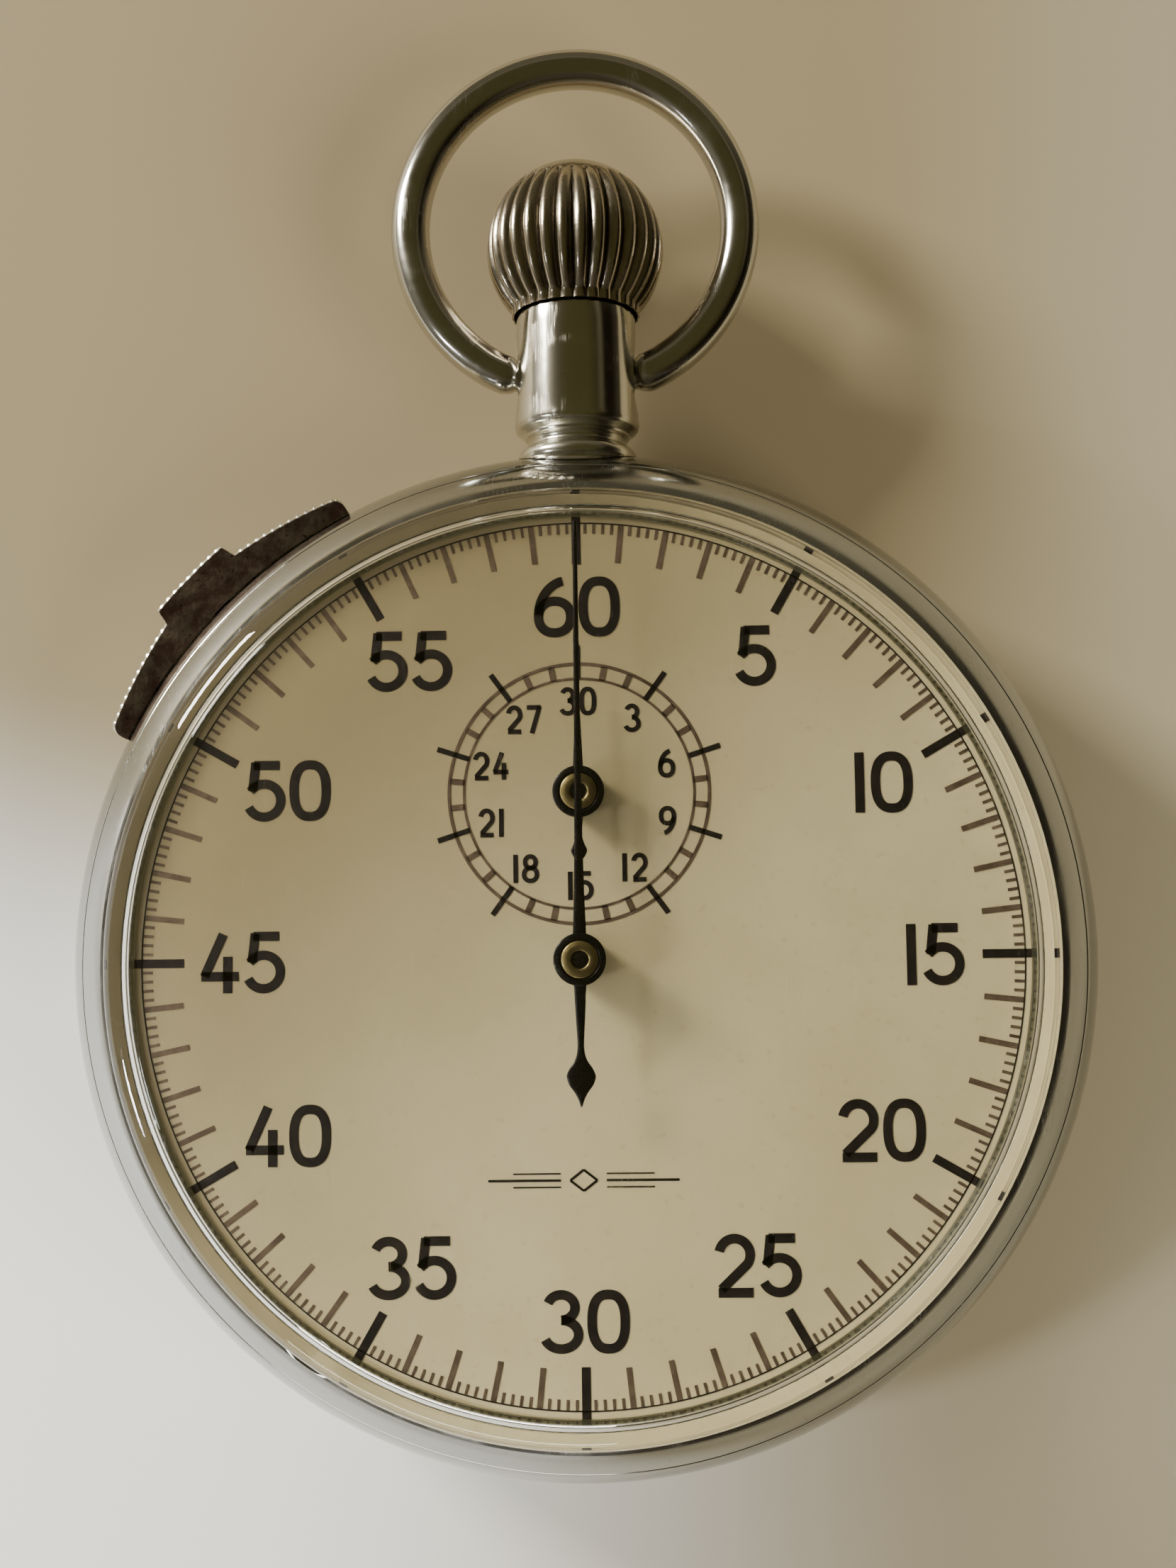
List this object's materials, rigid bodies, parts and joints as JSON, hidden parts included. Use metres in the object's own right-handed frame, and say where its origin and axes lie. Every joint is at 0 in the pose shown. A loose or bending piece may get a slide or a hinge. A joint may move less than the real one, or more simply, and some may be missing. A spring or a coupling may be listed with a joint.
{
  "type": "mechanical stopwatch",
  "caption": "Crown-operated mechanical pocket stopwatch with a round case, domed crystal, seconds dial, minutes subdial, bow, side slide and a complete hand-wound movement.",
  "frame": {"origin": "centre of the back cover's flat resting face", "axes": "+Z out of the dial, +Y from the dial centre to the crown at twelve o'clock, +X to three o'clock"},
  "size_m": [0.0518, 0.0739, 0.0142],
  "materials": {
    "chrome": "polished, lightly scratched",
    "worn_chrome": "worn and tarnished",
    "acrylic": "clear moulded acrylic",
    "dial": "aged cream enamel paint, black print",
    "black_steel": "blackened",
    "blued_steel": "blued spring steel",
    "brass": "grained",
    "nickel": "nickel plated, fine stripes",
    "steel": "polished"
  },
  "bodies": {
    "case": {"back_cover": "chrome", "case_band": "chrome", "bezel": "chrome", "crystal": "acrylic", "dial": "dial", "movement_ring": "brass", "pendant_tube": "chrome", "main_plate": "brass", "barrel_bridge": "nickel", "train_bridge": "nickel", "balance_cock": "nickel", "pallet_bridge": "nickel", "barrel_bridge_screw_1": "steel", "barrel_bridge_screw_2": "steel", "train_bridge_screw_1": "steel", "train_bridge_screw_2": "steel", "balance_cock_screw_1": "steel", "pallet_bridge_screw_1": "steel", "crown_wheel_screw": "steel", "click_spring": "steel", "hammer_spring": "steel", "stop_lever_spring": "steel", "hairspring": "blued_steel"},
    "press": {"press_collar": "steel"},
    "crown": {"crown": "worn_chrome", "winding_stem": "steel"},
    "winding_pinion": {"winding_pinion": "steel"},
    "crown_wheel": {"crown_wheel": "steel"},
    "ratchet": {"ratchet_wheel": "steel", "barrel_arbor": "steel", "ratchet_screw": "steel"},
    "seconds": {"seconds_arbor": "steel", "seconds_heart_cam": "steel", "seconds_hand": "black_steel"},
    "fourth_wheel": {"fourth_wheel": "brass"},
    "third_wheel": {"third_wheel": "brass"},
    "centre_wheel": {"centre_wheel": "brass"},
    "barrel": {"barrel": "brass", "barrel_cover": "brass", "mainspring": "blued_steel"},
    "escape_wheel": {"escape_wheel": "steel"},
    "minute_drive": {"minute_drive_wheel": "brass"},
    "minute": {"minute_wheel": "brass", "minute_heart_cam": "steel", "minute_hand": "black_steel"},
    "pallet_fork": {"pallet_fork": "steel"},
    "balance": {"balance_wheel": "brass"},
    "reset_hammer": {"reset_hammer": "steel"},
    "slide": {"slide_button": "worn_chrome"},
    "stop_lever": {"stop_lever": "steel"},
    "click": {"click": "steel"},
    "bow": {"bow_ring": "chrome"}
  },
  "joints": [
    {"name": "crown_press", "type": "slide", "parent": "case", "child": "press", "axis": [0, -1, 0], "range_m": [0, 0.0008], "stiffness_N_per_m": 3000},
    {"name": "crown_turn", "type": "hinge", "parent": "press", "child": "crown", "pos_m": [0, 0.03, 0.0056], "axis": [0, 1, 0], "continuous": true},
    {"name": "winding_pinion_spin", "type": "hinge", "parent": "case", "child": "winding_pinion", "pos_m": [0, 0.01655, 0.0056], "axis": [0, 1, 0], "continuous": true},
    {"name": "crown_wheel_spin", "type": "hinge", "parent": "case", "child": "crown_wheel", "pos_m": [0, 0.01255, 0], "axis": [0, 0, 1], "continuous": true},
    {"name": "ratchet_spin", "type": "hinge", "parent": "case", "child": "ratchet", "pos_m": [0.0089, 0.00857, 0], "axis": [0, 0, 1], "continuous": true},
    {"name": "seconds_spin", "type": "hinge", "parent": "case", "child": "seconds", "pos_m": [0, 0, 0], "axis": [0, 0, 1], "continuous": true},
    {"name": "fourth_wheel_spin", "type": "hinge", "parent": "case", "child": "fourth_wheel", "pos_m": [0, 0, 0], "axis": [0, 0, 1], "continuous": true},
    {"name": "third_wheel_spin", "type": "hinge", "parent": "case", "child": "third_wheel", "pos_m": [0.0049, -0.00303, 0], "axis": [0, 0, 1], "continuous": true},
    {"name": "centre_wheel_spin", "type": "hinge", "parent": "case", "child": "centre_wheel", "pos_m": [0.0096, 0.0009, 0], "axis": [0, 0, 1], "continuous": true},
    {"name": "barrel_spin", "type": "hinge", "parent": "case", "child": "barrel", "pos_m": [0.0089, 0.00857, 0], "axis": [0, 0, 1], "continuous": true},
    {"name": "escape_wheel_spin", "type": "hinge", "parent": "case", "child": "escape_wheel", "pos_m": [-0.00198, -0.00343, 0], "axis": [0, 0, 1], "continuous": true},
    {"name": "minute_drive_spin", "type": "hinge", "parent": "case", "child": "minute_drive", "pos_m": [-0.00238, 0.00361, 0], "axis": [0, 0, 1], "continuous": true},
    {"name": "minute_spin", "type": "hinge", "parent": "case", "child": "minute", "pos_m": [0, 0.00805, 0], "axis": [0, 0, 1], "continuous": true},
    {"name": "pallet_fork_rock", "type": "hinge", "parent": "case", "child": "pallet_fork", "pos_m": [-0.00442, -0.00651, 0], "axis": [0, 0, 1], "range_deg": [-5, 5]},
    {"name": "balance_swing", "type": "hinge", "parent": "case", "child": "balance", "pos_m": [-0.00727, -0.01012, 0], "axis": [0, 0, 1], "range_deg": [-150, 150], "stiffness_Nm_per_rad": 0.0000042},
    {"name": "reset_hammer_swing", "type": "hinge", "parent": "case", "child": "reset_hammer", "pos_m": [0.0075, -0.006, 0], "axis": [0, 0, 1], "range_deg": [0, 6.2]},
    {"name": "slide_turn", "type": "hinge", "parent": "case", "child": "slide", "pos_m": [0, 0, 0], "axis": [0, 0, 1], "range_deg": [-5, 0]},
    {"name": "stop_lever_swing", "type": "hinge", "parent": "case", "child": "stop_lever", "pos_m": [-0.00857, 0.0084, 0], "axis": [0, 0, 1], "range_deg": [-12.1, 0.1]},
    {"name": "click_lift", "type": "hinge", "parent": "case", "child": "click", "pos_m": [0.01574, 0.00462, 0], "axis": [0, 0, 1], "range_deg": [-4, 0], "stiffness_Nm_per_rad": 0.002},
    {"name": "bow_swing", "type": "hinge", "parent": "case", "child": "bow", "pos_m": [0, 0.0302, 0.0056], "axis": [1, 0, 0], "range_deg": [-100, 100]}
  ],
  "couplings": [
    {"joint": "winding_pinion_spin", "follows": "crown_turn", "ratio": 1},
    {"joint": "crown_wheel_spin", "follows": "crown_turn", "ratio": 0.8},
    {"joint": "ratchet_spin", "follows": "crown_turn", "ratio": -0.5},
    {"joint": "fourth_wheel_spin", "follows": "seconds_spin", "ratio": 1},
    {"joint": "third_wheel_spin", "follows": "seconds_spin", "ratio": -0.125},
    {"joint": "centre_wheel_spin", "follows": "seconds_spin", "ratio": 0.016667},
    {"joint": "barrel_spin", "follows": "seconds_spin", "ratio": -0.0027778},
    {"joint": "escape_wheel_spin", "follows": "seconds_spin", "ratio": -10},
    {"joint": "minute_drive_spin", "follows": "seconds_spin", "ratio": -0.2},
    {"joint": "minute_spin", "follows": "seconds_spin", "ratio": 0.033333},
    {"joint": "reset_hammer_swing", "follows": "crown_press", "rad_per_m": 134},
    {"joint": "stop_lever_swing", "follows": "slide_turn", "ratio": 2.4}
  ]
}
